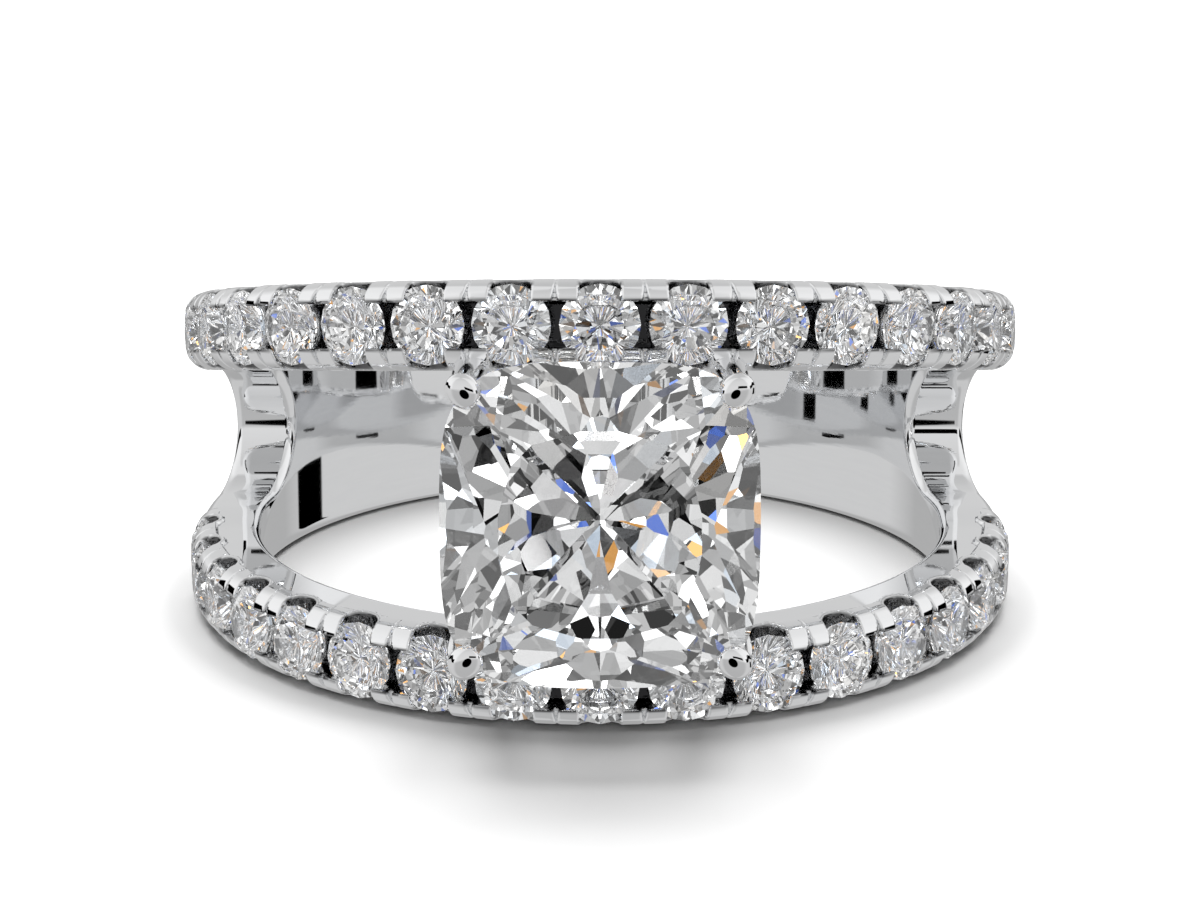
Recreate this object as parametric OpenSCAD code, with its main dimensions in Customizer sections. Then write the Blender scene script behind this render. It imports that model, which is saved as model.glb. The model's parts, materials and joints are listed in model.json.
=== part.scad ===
// A split shank ring with a cushion-cut main stone and two arms of small round stones.
// Sizes are in millimetres. The ring is drawn about its finger axis, Z, with the head towards -Y,
// and is then laid down on the sloping side of its lower arm, as it rests on a table.

/* [Shank] */
// Radius of the finger hole
finger_r = 8.65; // [8.4:0.05:8.9]
// Thickness of the shank wall
wall_t = 1.55; // [1.5:0.05:1.7]
// Half width of the ring abreast of the finger axis
half_w = 3.65; // [3.5:0.05:3.8]
// Growth of the half width for each millimetre towards the head
side_slope = 0.107; // [0.095:0.001:0.12]
// Width of the slope that breaks each finger-side edge
inner_break = 0.22; // [0.15:0.01:0.3]

/* [Arms] */
// Width of each arm between the gap and its outer side
arm_w = 1.9; // [1.86:0.01:2]
// How far behind the finger axis the round end of the gap is centred
gap_end_y = 0.95; // [0.6:0.05:1.3]
// Width of the trench between the claw blocks
trench_w = 0.94; // [0.8:0.02:1.1]
// Depth of the trench between the claw blocks
trench_t = 0.45; // [0.35:0.05:0.55]
// Radius of the scallop cut in the arm's sides under each small stone
scallop_r = 0.43; // [0.35:0.01:0.48]
// Depth of the groove that parts the two claws of a block
groove_t = 0.2; // [0.1:0.02:0.3]
// Half width of that groove at the surface
groove_w = 0.09; // [0.05:0.01:0.12]

/* [Small stones] */
// Stones in each arm
stones_per_arm = 17; // [11:2:17]
// Angle from one stone to the next
stone_step = 10.4; // [10.3:0.05:10.5]
// Diameter of a small stone
small_d = 1.68; // [1.6:0.01:1.7]
// How far the tables stand out of the metal
small_proud = 0.15; // [0.1:0.01:0.2]
// Clearance round every stone
stone_gap = 0.05; // [0.04:0.01:0.06]

/* [Main stone] */
// Width of the main stone across the arms' run
main_w = 6.3; // [6.1:0.05:6.4]
// Length of the main stone along the finger
main_l = 6.5; // [6.3:0.05:6.6]
// Distance from the finger axis to the middle of its girdle
main_rho = 12.2; // [12.1:0.05:12.4]
// Height of its crown
main_crown = 0.95; // [0.85:0.05:1]
// Depth of its pavilion
main_pavilion = 2.95; // [2.8:0.05:3]
// Thickness of its girdle
main_girdle = 0.16; // [0.14:0.01:0.2]
// Roundness of its outline, where 2 is an ellipse and more is squarer
main_square = 3.8; // [3.4:0.1:4.2]

/* [Head] */
// Half distance between the claws across the arms' run
claw_x = 2.68; // [2.64:0.02:2.76]
// Half distance between the claws along the finger
claw_z = 2.72; // [2.68:0.02:2.76]
// Radius of a claw's rounded tip
claw_tip_r = 0.33; // [0.3:0.01:0.36]
// Radius of a claw where it leaves the shank
claw_foot_r = 0.44; // [0.4:0.01:0.46]
// Radius of the two bars that join the arms under the main stone
bar_r = 0.34; // [0.28:0.02:0.36]

/* [Hidden] */
$fn = 96;
LARGE_FN = 192;
CLAW_FN = 48;
TINY = 0.01;
SLACK = 4;                                  // how far a long cutter runs past what it cuts
PAST = 1;                                   // how far a short cutter does
SHANK = "#e4e6e8";
STONE = "#f4f8fb";
OUTER_CUTS = [[0, -0.28], [-0.1, -0.11], [-0.28, 0]];    // edge breaks: [height, radius past outer_r]

outer_r = finger_r + wall_t;
tilt = atan(side_slope);
lift = half_w * cos(tilt);
last_stone = (stones_per_arm - 1) / 2;
STONES = [for (i = [-last_stone:last_stone]) i];
BLOCKS = [for (i = [-last_stone:last_stone - 1]) i + 0.5];

// Proportions of a round brilliant, as shares of its radius
small_r = small_d / 2;
small_table = 0.6;
crown_angle = 34.5;
pavilion_angle = 40.8;
small_crown = small_r * (1 - small_table) * tan(crown_angle);
small_pavilion = small_r * tan(pavilion_angle);
small_girdle = 0.05;
small_rho = outer_r + small_proud - small_crown;    // the girdles' distance from the finger axis

main_table = 0.56;
main_turn = 22.5;                           // where its first crown main lies
crown_meet = 0.7;                           // where crown mains meet, from centre to girdle
pavilion_meet = 0.2;                        // where pavilion mains meet, from culet to girdle

scallop_in = 0.07;                          // how deep the scallops' axes lie under the surface
gap_end_steps = 24;
claw_foot_rho = finger_r + 0.2;             // the claws start inside the shank's wall
claw_tip_rho = main_rho + 0.2;              // and their tips' middles stand above the girdle
bar_in = 0.12;                              // how far the bars lie outside the hole and inside the claws
bar_y = -(finger_r + bar_r + bar_in);
bar_x = claw_x - bar_in;
gap_front = main_rho + SLACK;
gap_end_r = (half_w - arm_w - side_slope * gap_end_y) * cos(tilt);

// The laid ring reaches from the main stone's table to the shank's back edge
table_reach = main_rho + main_girdle / 2 + main_crown;
table_half = main_table * outline(main_w / 2, main_l / 2, main_square, main_turn + 45)[1];
front_y = -table_reach * cos(tilt) - table_half * sin(tilt);
back_edge = [outer_r, half_w - side_slope * outer_r + OUTER_CUTS[2][0]];
back_y = back_edge[0] * cos(tilt) + back_edge[1] * sin(tilt);
middle_y = (front_y + back_y) / 2;

// Height of the ring's side, and of an arm's middle, at a distance y from the finger axis
function side_z(y) = half_w - side_slope * y;
function arm_z(y) = side_z(y) - arm_w / 2;

// A point on a cushion outline, where t runs round it from 0 to 360
function power(v, p) = sign(v) * pow(abs(v), p);
function outline(a, b, p, t) = [a * power(cos(t), 2 / p), b * power(sin(t), 2 / p)];
// The line that touches the outline at t, as g in g * point = 1
function touch(a, b, p, t) = let (o = outline(a, b, p, t))
    [power(o[0] / a, p - 1) / a, power(o[1] / b, p - 1) / b];
// Where two such lines meet
function meet(g, h) = [h[1] - g[1], g[0] - h[0]] / (g[0] * h[1] - g[1] * h[0]);
function lie(xy, z) = [xy[0], xy[1], z];
// Height over xy of the plane through a, b and c
function plane_z(a, b, c, xy) = let (n = cross(b - a, c - a))
    a[2] - (n[0] * (xy[0] - a[0]) + n[1] * (xy[1] - a[1])) / n[2];

// A brilliant-cut stone: 8 stars, 8 mains and 16 halves above the girdle, 8 mains and 16 halves below.
// Its girdle's top lies at z = 0. a and b are half its width and length, m is the number of girdle
// flats to each half facet, and turn is where its first main lies.
module brilliant(a, b, p, table, crown, pavilion, girdle, m, turn) {
    n = 16 * m;
    mains = [for (k = [0:7]) turn + 45 * k];
    g = [for (t = mains) touch(a, b, p, t)];
    x = [for (k = [0:7]) meet(g[k], g[(k + 1) % 8])];
    rim = [for (i = [0:n - 1]) outline(a, b, p, turn + i * 360 / n)];
    tables = [for (t = mains) lie(table * outline(a, b, p, t), crown)];
    tops = [for (q = x) lie(crown_meet * q, crown * (1 - crown_meet) / (1 - table))];
    lows = [for (q = x) lie(pavilion_meet * q, -girdle - pavilion * (1 - pavilion_meet))];
    // Each half facet runs between two of the 16 corners on the girdle
    function corner(h) = rim[(h % 16) * m];
    function half_z(meets, i, z) = let (h = floor(i / m), k = floor(h / 2))
        plane_z(meets[k], lie(corner(h), z), lie(corner(h + 1), z), rim[i]);
    upper = [for (i = [0:n - 1]) lie(rim[i], half_z(tops, i, 0))];
    lower = [for (i = [0:n - 1]) lie(rim[i], half_z(lows, i, -girdle))];
    U = 16;                                 // index of the first point of each group
    L = U + n;
    D = L + n;
    C = D + 8;
    polyhedron(
        points = concat(tables, tops, upper, lower, lows, [[0, 0, -girdle - pavilion]]),
        faces = concat(
            [[for (k = [7:-1:0]) k]],
            [for (k = [0:7]) [k, (k + 1) % 8, 8 + k]],
            [for (k = [0:7]) [k, 8 + k, U + 2 * k * m, 8 + (k + 7) % 8]],
            [for (h = [0:15]) concat([8 + floor(h / 2)],
                [for (j = [m:-1:0]) U + (h * m + j) % n])],
            [for (i = [0:n - 1]) [U + i, U + (i + 1) % n, L + (i + 1) % n, L + i]],
            [for (h = [0:15]) concat([D + floor(h / 2)], [for (j = [0:m]) L + (h * m + j) % n])],
            [for (k = [0:7]) [C, D + (k + 7) % 8, L + 2 * k * m, D + k]]),
        convexity = 4);
}

module small_stone() {
    brilliant(small_r, small_r, 2, small_table, small_crown, small_pavilion, small_girdle, 1, 0);
}

module main_brilliant(grow) {
    brilliant(main_w / 2 + grow, main_l / 2 + grow, main_square, main_table, main_crown + grow,
        main_pavilion + grow, main_girdle, 4, main_turn);
}

// Stands a child that points up Z on the finger axis, pointing away from it at an angle from the head
module radial(angle, rho, z) {
    rotate([0, 0, angle]) translate([0, -rho, z]) rotate([90, 0, 0]) children();
}

// Stands a child at the girdle of small stone i, on the upper (side = 1) or lower (side = -1) arm
module on_arm(i, side) {
    a = i * stone_step;
    radial(a, small_rho, side * arm_z(-small_rho * cos(a))) children();
}

module centred() {
    translate([0, -(main_rho + main_girdle / 2), 0]) rotate([90, 0, 0]) children();
}

// A cutter of the small stone's own form with clearance all round, open towards the outside
module small_seat() {
    wide = small_r + stone_gap;
    down = -small_girdle - stone_gap * (1 - sin(pavilion_angle)) / cos(pavilion_angle);
    up = stone_gap * (1 - sin(crown_angle)) / cos(crown_angle);
    table_r = small_table * small_r + 2 * stone_gap;
    rotate_extrude() polygon([
        [0, down - wide * tan(pavilion_angle)],
        [wide, down],
        [wide, up],
        [table_r, up + (wide - table_r) * tan(crown_angle)],
        [table_r, small_crown + PAST],
        [0, small_crown + PAST]]);
}

// What lies under the sloping upper side, with the outer edge broken in two steps
module under_side() {
    run = 10;                               // how many times its last slope's length the cutter runs on
    last = OUTER_CUTS[2];
    steep = OUTER_CUTS[1] - last;
    translate([0, 0, half_w]) rotate([-tilt, 0, 0]) rotate_extrude($fn = LARGE_FN) polygon([
        [0, 0],
        [outer_r + OUTER_CUTS[0][1], OUTER_CUTS[0][0]],
        [outer_r + OUTER_CUTS[1][1], OUTER_CUTS[1][0]],
        [outer_r + last[1] - steep[1] * run, last[0] - steep[0] * run],
        [outer_r + last[1] - steep[1] * run, -3 * half_w],
        [0, -3 * half_w]]);
}

// The slope that breaks the edge of the finger hole
module inner_edge() {
    translate([0, 0, half_w]) rotate([-tilt, 0, 0]) rotate_extrude($fn = LARGE_FN) polygon([
        [0, PAST],
        [finger_r + inner_break + PAST, PAST],
        [finger_r + inner_break - PAST, -PAST],
        [0, -PAST]]);
}

module both_sides() {
    children();
    mirror([0, 0, 1]) children();
}

// The shank before it is split
module blank() {
    difference() {
        intersection() {
            translate([0, 0, -2 * half_w]) cylinder(r = outer_r, h = 4 * half_w, $fn = LARGE_FN);
            under_side();
            mirror([0, 0, 1]) under_side();
        }
        translate([0, 0, -2 * half_w - PAST])
            cylinder(r = finger_r, h = 4 * half_w + 2 * PAST, $fn = LARGE_FN);
        both_sides() inner_edge();
    }
}

// Lays an outline that is drawn in y and z along X
module across(length) {
    rotate([90, 0, 90]) translate([0, 0, -length / 2]) linear_extrude(length) children();
}

// The gap between the arms, which ends in a half round behind the finger axis
module gap() {
    turn = 90 - tilt;
    front_z = side_z(-gap_front) - arm_w;
    across(2 * outer_r + SLACK) polygon(concat(
        [for (i = [0:gap_end_steps]) let (a = turn * (1 - 2 * i / gap_end_steps))
            [gap_end_y + gap_end_r * cos(a), gap_end_r * sin(a)]],
        [[-gap_front, -front_z], [-gap_front, front_z]]));
}

// The trench along the middle of one arm, so that only blocks stand between the stones
module trench() {
    end_y = -outer_r * cos(last_stone * stone_step);
    difference() {
        across(2 * outer_r + SLACK) polygon([
            [end_y, arm_z(end_y) - trench_w / 2],
            [end_y, arm_z(end_y) + trench_w / 2],
            [-gap_front, arm_z(-gap_front) + trench_w / 2],
            [-gap_front, arm_z(-gap_front) - trench_w / 2]]);
        translate([0, 0, -gap_front]) cylinder(r = outer_r - trench_t, h = 2 * gap_front, $fn = LARGE_FN);
    }
}

module scallops() {
    for (i = STONES) rotate([0, 0, i * stone_step])
        translate([0, scallop_in - outer_r, -2 * half_w]) cylinder(r = scallop_r, h = 4 * half_w, $fn = 32);
}

module grooves() {
    for (i = BLOCKS) rotate([0, 0, i * stone_step])
        translate([0, -outer_r, -2 * half_w]) linear_extrude(4 * half_w)
            polygon([[0, groove_t], [-2 * groove_w, -groove_t], [2 * groove_w, -groove_t]]);
}

// Four claws that rise from the arms, and two bars that join the arms under the main stone
module head() {
    height = claw_tip_rho - claw_foot_rho;
    for (x = [-1, 1]) {
        for (z = [-1, 1]) translate([x * claw_x, -claw_foot_rho, z * claw_z]) rotate([90, 0, 0]) {
            cylinder(r1 = claw_foot_r, r2 = claw_tip_r - TINY, h = height, $fn = CLAW_FN);
            translate([0, 0, height]) sphere(r = claw_tip_r, $fn = CLAW_FN);
        }
        translate([x * bar_x, bar_y, -claw_z - bar_r])
            cylinder(r = bar_r, h = 2 * (claw_z + bar_r), $fn = CLAW_FN);
    }
}

module ring_metal() {
    difference() {
        union() {
            difference() {
                blank();
                gap();
                both_sides() trench();
                scallops();
                grooves();
            }
            head();
        }
        for (side = [-1, 1], i = STONES) on_arm(i, side) small_seat();
        centred() main_brilliant(stone_gap);
    }
}

// The ring as it lies on a table, with the middle of its footprint's box at the origin
module laid() {
    translate([0, -middle_y, lift]) rotate([-tilt, 0, 0]) children();
}

module split_shank() {
    color(SHANK) laid() ring_metal();
}

module centre_stone() {
    color(STONE) laid() centred() main_brilliant(0);
}

// One small stone of the upper (side = 1) or lower (side = -1) arm, counted from 1
module arm_stone(number, side) {
    color(STONE) laid() on_arm(STONES[number - 1], side) small_stone();
}

split_shank();
centre_stone();
for (i = [1:stones_per_arm]) {
    arm_stone(i, 1);
    arm_stone(i, -1);
}
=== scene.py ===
"""Looks of the split shank ring: polished metal, cut stones, floor, light and camera.

Lengths inside the classes are millimetres in the ring's own frame: the finger axis is Z and the head
points towards -Y. RingSizes.laid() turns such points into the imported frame, in metres, where the ring
lies on the sloping side of its lower arm.
"""

import json
import logging
import math
from collections.abc import Callable
from dataclasses import dataclass
from enum import Enum

import bmesh
import bpy
import numpy as np
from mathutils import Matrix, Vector


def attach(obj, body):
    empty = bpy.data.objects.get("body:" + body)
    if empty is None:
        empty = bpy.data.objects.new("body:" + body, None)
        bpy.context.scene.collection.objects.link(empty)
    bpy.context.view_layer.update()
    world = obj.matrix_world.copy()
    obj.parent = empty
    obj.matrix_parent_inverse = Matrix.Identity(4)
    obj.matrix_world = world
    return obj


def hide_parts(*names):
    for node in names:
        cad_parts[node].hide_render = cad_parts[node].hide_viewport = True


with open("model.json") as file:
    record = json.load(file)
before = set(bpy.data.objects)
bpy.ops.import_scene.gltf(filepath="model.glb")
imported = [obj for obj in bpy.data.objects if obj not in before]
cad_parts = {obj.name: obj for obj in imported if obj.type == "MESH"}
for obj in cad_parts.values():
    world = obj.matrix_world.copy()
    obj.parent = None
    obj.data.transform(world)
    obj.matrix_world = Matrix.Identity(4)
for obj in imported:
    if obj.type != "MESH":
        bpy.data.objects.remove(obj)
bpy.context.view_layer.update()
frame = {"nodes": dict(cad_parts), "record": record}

MM = 0.001
TINY = 1e-6
PAINTED_SHADE = "hollow"

Array = np.ndarray
Colour = tuple[float, float, float]
Shades = tuple[tuple[float, float], ...]
Material = bpy.types.Material
Node = bpy.types.Node
Piece = bpy.types.Object
Socket = bpy.types.NodeSocket
Tree = bpy.types.NodeTree

log = logging.getLogger("ring")


class Metal(Enum):
    """The finishes that the metal wears."""

    SHANK = "shank_metal"
    ARMS = "arm_metal"
    CLAWS = "claw_metal"


class Stone(Enum):
    """The two kinds of cut stone."""

    MAIN = "main_stone"
    SMALL = "small_stone"


class Quarter(Enum):
    """The four quarters of the ring, with their signs along X and Z."""

    UPPER_LEFT = (-1, 1)
    UPPER_RIGHT = (1, 1)
    LOWER_LEFT = (-1, -1)
    LOWER_RIGHT = (1, -1)

    @property
    def words(self) -> list[str]:
        """The quarter's level and side, as its pieces' names say them."""
        return self.name.lower().split("_")


@dataclass(frozen=True)
class RingSizes:
    """The ring's driving sizes in millimetres and degrees, the same as the solids'."""

    finger_r: float = 8.65
    wall: float = 1.55
    half_w: float = 3.65
    side_slope: float = 0.107
    arm_w: float = 1.9
    gap_end_y: float = 0.95
    stones_per_arm: int = 17
    stone_step: float = 10.4
    small_r: float = 0.84
    small_proud: float = 0.15
    small_girdle: float = 0.05
    small_table: float = 0.6
    crown_angle: float = 34.5
    pavilion_angle: float = 40.8
    main_rho: float = 12.2
    claw_x: float = 2.68
    claw_z: float = 2.72
    bar_r: float = 0.34
    bar_in: float = 0.12

    @property
    def outer_r(self) -> float:
        """Outer radius of the shank."""
        return self.finger_r + self.wall

    @property
    def tilt(self) -> float:
        """Lean of the ring's sides, in radians."""
        return math.atan(self.side_slope)

    @property
    def step(self) -> float:
        """Angle from one small stone to the next, in radians."""
        return math.radians(self.stone_step)

    @property
    def last(self) -> float:
        """Number of the last stone on each side of the middle one."""
        return (self.stones_per_arm - 1) / 2

    @property
    def small_rho(self) -> float:
        """Distance of the small stones' girdles from the finger axis."""
        crown = self.small_r * (1 - self.small_table) * math.tan(math.radians(self.crown_angle))
        return self.outer_r + self.small_proud - crown

    @property
    def gap_end_r(self) -> float:
        """Radius of the round end of the gap between the arms."""
        return (self.half_w - self.arm_w - self.side_slope * self.gap_end_y) * math.cos(self.tilt)

    def side_z(self, y: Array) -> Array:
        """Height of the ring's side at a distance y behind the finger axis."""
        return self.half_w - self.side_slope * y

    def laid(self, points: Array) -> Array:
        """Turns ring points in millimetres into packed ones in metres.

        Args:
            points: An N by 3 array in the ring's own frame.

        Returns:
            The same points as the ring lies on the table.
        """
        mount = next(m for m in frame["record"]["mounts"] if m["name"] == "finger_hole")
        return self.turned(points) * MM + np.array(mount["pos_m"])

    def turned(self, vectors: Array) -> Array:
        """Turns ring directions by the lean of the laid ring."""
        c, s = math.cos(self.tilt), math.sin(self.tilt)
        return vectors @ np.array([[1, 0, 0], [0, c, -s], [0, s, c]])


def round_and(a: Array, b: Array, r: float) -> Array:
    """Distance to what lies inside both forms, with their common edge rounded.

    Args:
        a: Distances to the first form, negative inside.
        b: Distances to the second form.
        r: Radius of the rounding in millimetres.

    Returns:
        Distances to the common form.
    """
    corner = np.hypot(np.maximum(a + r, 0), np.maximum(b + r, 0))
    return np.minimum(-r, np.maximum(a, b)) + corner


def round_or(a: Array, b: Array, r: float) -> Array:
    """Distance to either form, with a fillet of radius r where they join."""
    return -round_and(-a, -b, r)


def ease(value: Array, start: float, end: float) -> Array:
    """A smooth step from 0 at start to 1 at end."""
    t = np.clip((value - start) / (end - start), 0, 1)
    return t * t * (3 - 2 * t)


class SurfaceNet:
    """A smooth mesh of the zero level of a distance field, on a grid that may be bent.

    The mesh has one point in each grid cell that the surface crosses. Every point is then pulled onto
    the surface and takes its normal from the field, so that polished faces shade without ripples. The
    field's slope is measured over NUDGE millimetres. In each of ROUNDS pulls a point moves by up to
    REACH of a cell, and LEAST_SLOPE keeps it from running off where the field is flat.
    """

    NUDGE = 0.004
    ROUNDS = 3
    REACH = 0.5
    LEAST_SLOPE = 0.2

    def __init__(self, distance: Callable[[Array], Array], place: Callable[[Array], Array],
                 axes: list[Array]) -> None:
        """Meshes the field.

        Args:
            distance: Gives the signed distance of N by 3 ring points.
            place: Turns N by 3 grid coordinates into ring points, keeping right-handedness.
            axes: The grid's coordinates along its three directions.
        """
        self.distance = distance
        grid = np.stack(np.meshgrid(*axes, indexing="ij"), -1)
        level = distance(place(grid.reshape(-1, 3))).reshape(grid.shape[:3])
        self.inside = level < 0
        size = np.array(level.shape)
        corners = [np.array([i >> 2, i >> 1 & 1, i & 1]) for i in range(8)]
        count = sum(self.inside[self._window(c, size)].astype(np.int8) for c in corners)
        self.cells = np.argwhere((count > 0) & (count < len(corners)))
        self.index = np.full(count.shape, -1)
        self.index[tuple(self.cells.T)] = np.arange(len(self.cells))
        self.points = place(self._crossings(grid, level))
        for _ in range(self.ROUNDS):
            self._settle(self.REACH * float(np.median(np.diff(axes[2]))))
        self.normals = self._slope(self.points)
        self.normals /= np.linalg.norm(self.normals, axis=1, keepdims=True)
        self.quads = np.concatenate([self._quads(a) for a in range(3)])

    @staticmethod
    def _window(corner: Array, size: Array) -> tuple[slice, ...]:
        """The grid's nodes that are this corner of their cells."""
        return tuple(slice(c, n - 1 + c) for c, n in zip(corner, size))

    def _crossings(self, grid: Array, level: Array) -> Array:
        """Finds the mean place where the surface crosses each cell's edges.

        Args:
            grid: The coordinates of the grid's nodes.
            level: The field's value at each node.

        Returns:
            One place for each cell, in grid coordinates.
        """
        total = np.zeros((len(self.cells), 3))
        hits = np.zeros((len(self.cells), 1))
        for axis in range(3):
            step = np.eye(3, dtype=int)[axis]
            for i in range(4):
                start = np.roll(np.array([0, i >> 1, i & 1]), axis)
                low, high = self.cells + start, self.cells + start + step
                a, b = level[tuple(low.T)], level[tuple(high.T)]
                cross = ((a < 0) != (b < 0))[:, None]
                share = np.where(cross, a[:, None] / np.where(a == b, 1, a - b)[:, None], 0)
                p, q = grid[tuple(low.T)], grid[tuple(high.T)]
                total += np.where(cross, p + share * (q - p), 0)
                hits += cross
        return total / hits

    def _slope(self, points: Array) -> Array:
        """Finds the field's gradient.

        Args:
            points: N by 3 ring points.

        Returns:
            N by 3 gradients.
        """
        steps = np.eye(3) * self.NUDGE
        sides = [self.distance(points + s) - self.distance(points - s) for s in steps]
        return np.stack(sides, 1) / (2 * self.NUDGE)

    def _settle(self, reach: float) -> None:
        """Pulls the points onto the surface.

        Args:
            reach: The furthest that a point moves, in millimetres.
        """
        slope = self._slope(self.points)
        steepness = np.maximum((slope * slope).sum(1), self.LEAST_SLOPE)
        move = -self.distance(self.points) / steepness
        self.points = self.points + np.clip(move, -reach, reach)[:, None] * slope

    def _quads(self, axis: int) -> Array:
        """Makes the faces across the grid edges along one axis, wound so that they look outwards.

        Args:
            axis: The number of the axis.

        Returns:
            Faces as four indices of the points.
        """
        first = np.take(self.inside, range(self.inside.shape[axis] - 1), axis)
        second = np.take(self.inside, range(1, self.inside.shape[axis]), axis)
        edges = np.argwhere(first != second)
        b, c = (axis + 1) % 3, (axis + 2) % 3
        size = self.inside.shape
        whole = (edges[:, b] > 0) & (edges[:, c] > 0) & (edges[:, b] < size[b] - 1)
        edges = edges[whole & (edges[:, c] < size[c] - 1)]
        along_b, along_c = np.eye(3, dtype=int)[b], np.eye(3, dtype=int)[c]
        around = [edges - along_b - along_c, edges - along_c, edges, edges - along_b]
        quads = np.stack([self.index[tuple(k.T)] for k in around], 1)
        outward = first[tuple(edges.T)]
        return np.where(outward[:, None], quads, quads[:, ::-1])


@dataclass(frozen=True)
class Skin:
    """A smooth skin in the ring's frame.

    It has points, their normals, faces as indices of the points, and the shade painted on each point in
    the cuts for the stones, from 0 to 1, where a finish needs that.
    """

    points: Array
    normals: Array
    quads: Array
    hollow: Array | None = None

    def mirrored(self, quarter: Quarter) -> "Skin":
        """Makes a copy of a skin of the upper right quarter.

        Args:
            quarter: The quarter of the ring where the copy lies.

        Returns:
            The copy.
        """
        x, z = quarter.value
        signs = np.array([x, 1, z])
        quads = self.quads if x * z > 0 else self.quads[:, ::-1]
        return Skin(self.points * signs, self.normals * signs, quads, self.hollow)

    @staticmethod
    def joined(skins: list["Skin"]) -> "Skin":
        """Joins copies of one skin.

        Args:
            skins: The copies, with as many points each.

        Returns:
            One skin without painted shade.
        """
        points = np.concatenate([skin.points for skin in skins])
        normals = np.concatenate([skin.normals for skin in skins])
        quads = np.concatenate([skin.quads + i * len(skin.points) for i, skin in enumerate(skins)])
        return Skin(points, normals, quads)

    def piece(self, name: str, sizes: RingSizes) -> Piece:
        """Makes a smooth mesh object of the points that the faces use.

        Args:
            name: The piece's name.
            sizes: The ring's sizes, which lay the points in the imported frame.

        Returns:
            The object, linked to the scene.
        """
        used, flat = np.unique(self.quads, return_inverse=True)
        points, normals = sizes.laid(self.points), sizes.turned(self.normals)
        mesh = bpy.data.meshes.new(name)
        mesh.from_pydata(points[used].tolist(), [], flat.reshape(self.quads.shape).tolist())
        mesh.shade_smooth()
        mesh.normals_split_custom_set_from_vertices(normals[used].tolist())
        # The shade painted on each point goes into the mesh for the finish to read.
        if self.hollow is not None:
            attribute = mesh.attributes.new(PAINTED_SHADE, "FLOAT", "POINT")
            attribute.data.foreach_set("value", self.hollow[used])
        piece = bpy.data.objects.new(name, mesh)
        bpy.context.scene.collection.objects.link(piece)
        return piece


@dataclass(frozen=True)
class Spots:
    """Where points lie, seen from the ring, from the nearest small stone and from a block of claws.

    All are in millimetres but angle, which is in radians from the head. x and z are distances from
    the ring's two middle planes, y the distance behind the finger axis and rho the one from it.
    tangent and up are measured round and outwards at the nearest stone. along is measured round from
    the middle of the nearest block, and across from the middle of the arm.
    """

    x: Array
    y: Array
    z: Array
    rho: Array
    angle: Array
    tangent: Array
    up: Array
    along: Array
    across: Array

    @classmethod
    def of(cls, points: Array, s: RingSizes) -> "Spots":
        """Places points on the ring.

        Args:
            points: N by 3 ring points.
            s: The ring's sizes.

        Returns:
            Where they lie.
        """
        x, y, z = np.abs(points[:, 0]), points[:, 1], np.abs(points[:, 2])
        rho, angle = np.hypot(x, y), np.arctan2(x, -y)
        turn = angle - np.clip(np.round(angle / s.step), 0, s.last) * s.step
        block = np.clip(np.floor(angle / s.step), 0, s.last) + 0.5
        along = (angle - block * s.step) * rho
        along = np.where(block > s.last, -along, np.abs(along))
        across = np.abs(z - s.side_z(y) + s.arm_w / 2) * math.cos(s.tilt)
        return cls(x, y, z, rho, angle, rho * np.sin(turn), rho * np.cos(turn), along, across)


@dataclass
class MetalWork:
    """A sub-assembly of the metal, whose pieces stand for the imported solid."""

    sizes: RingSizes

    def dress(self, piece: Piece, material: Material) -> None:
        """Gives a piece its finish and its place on the ring.

        Args:
            piece: The piece.
            material: Its finish.
        """
        piece.data.materials.append(material)
        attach(piece, "root")
        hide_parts("split_shank")


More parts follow.
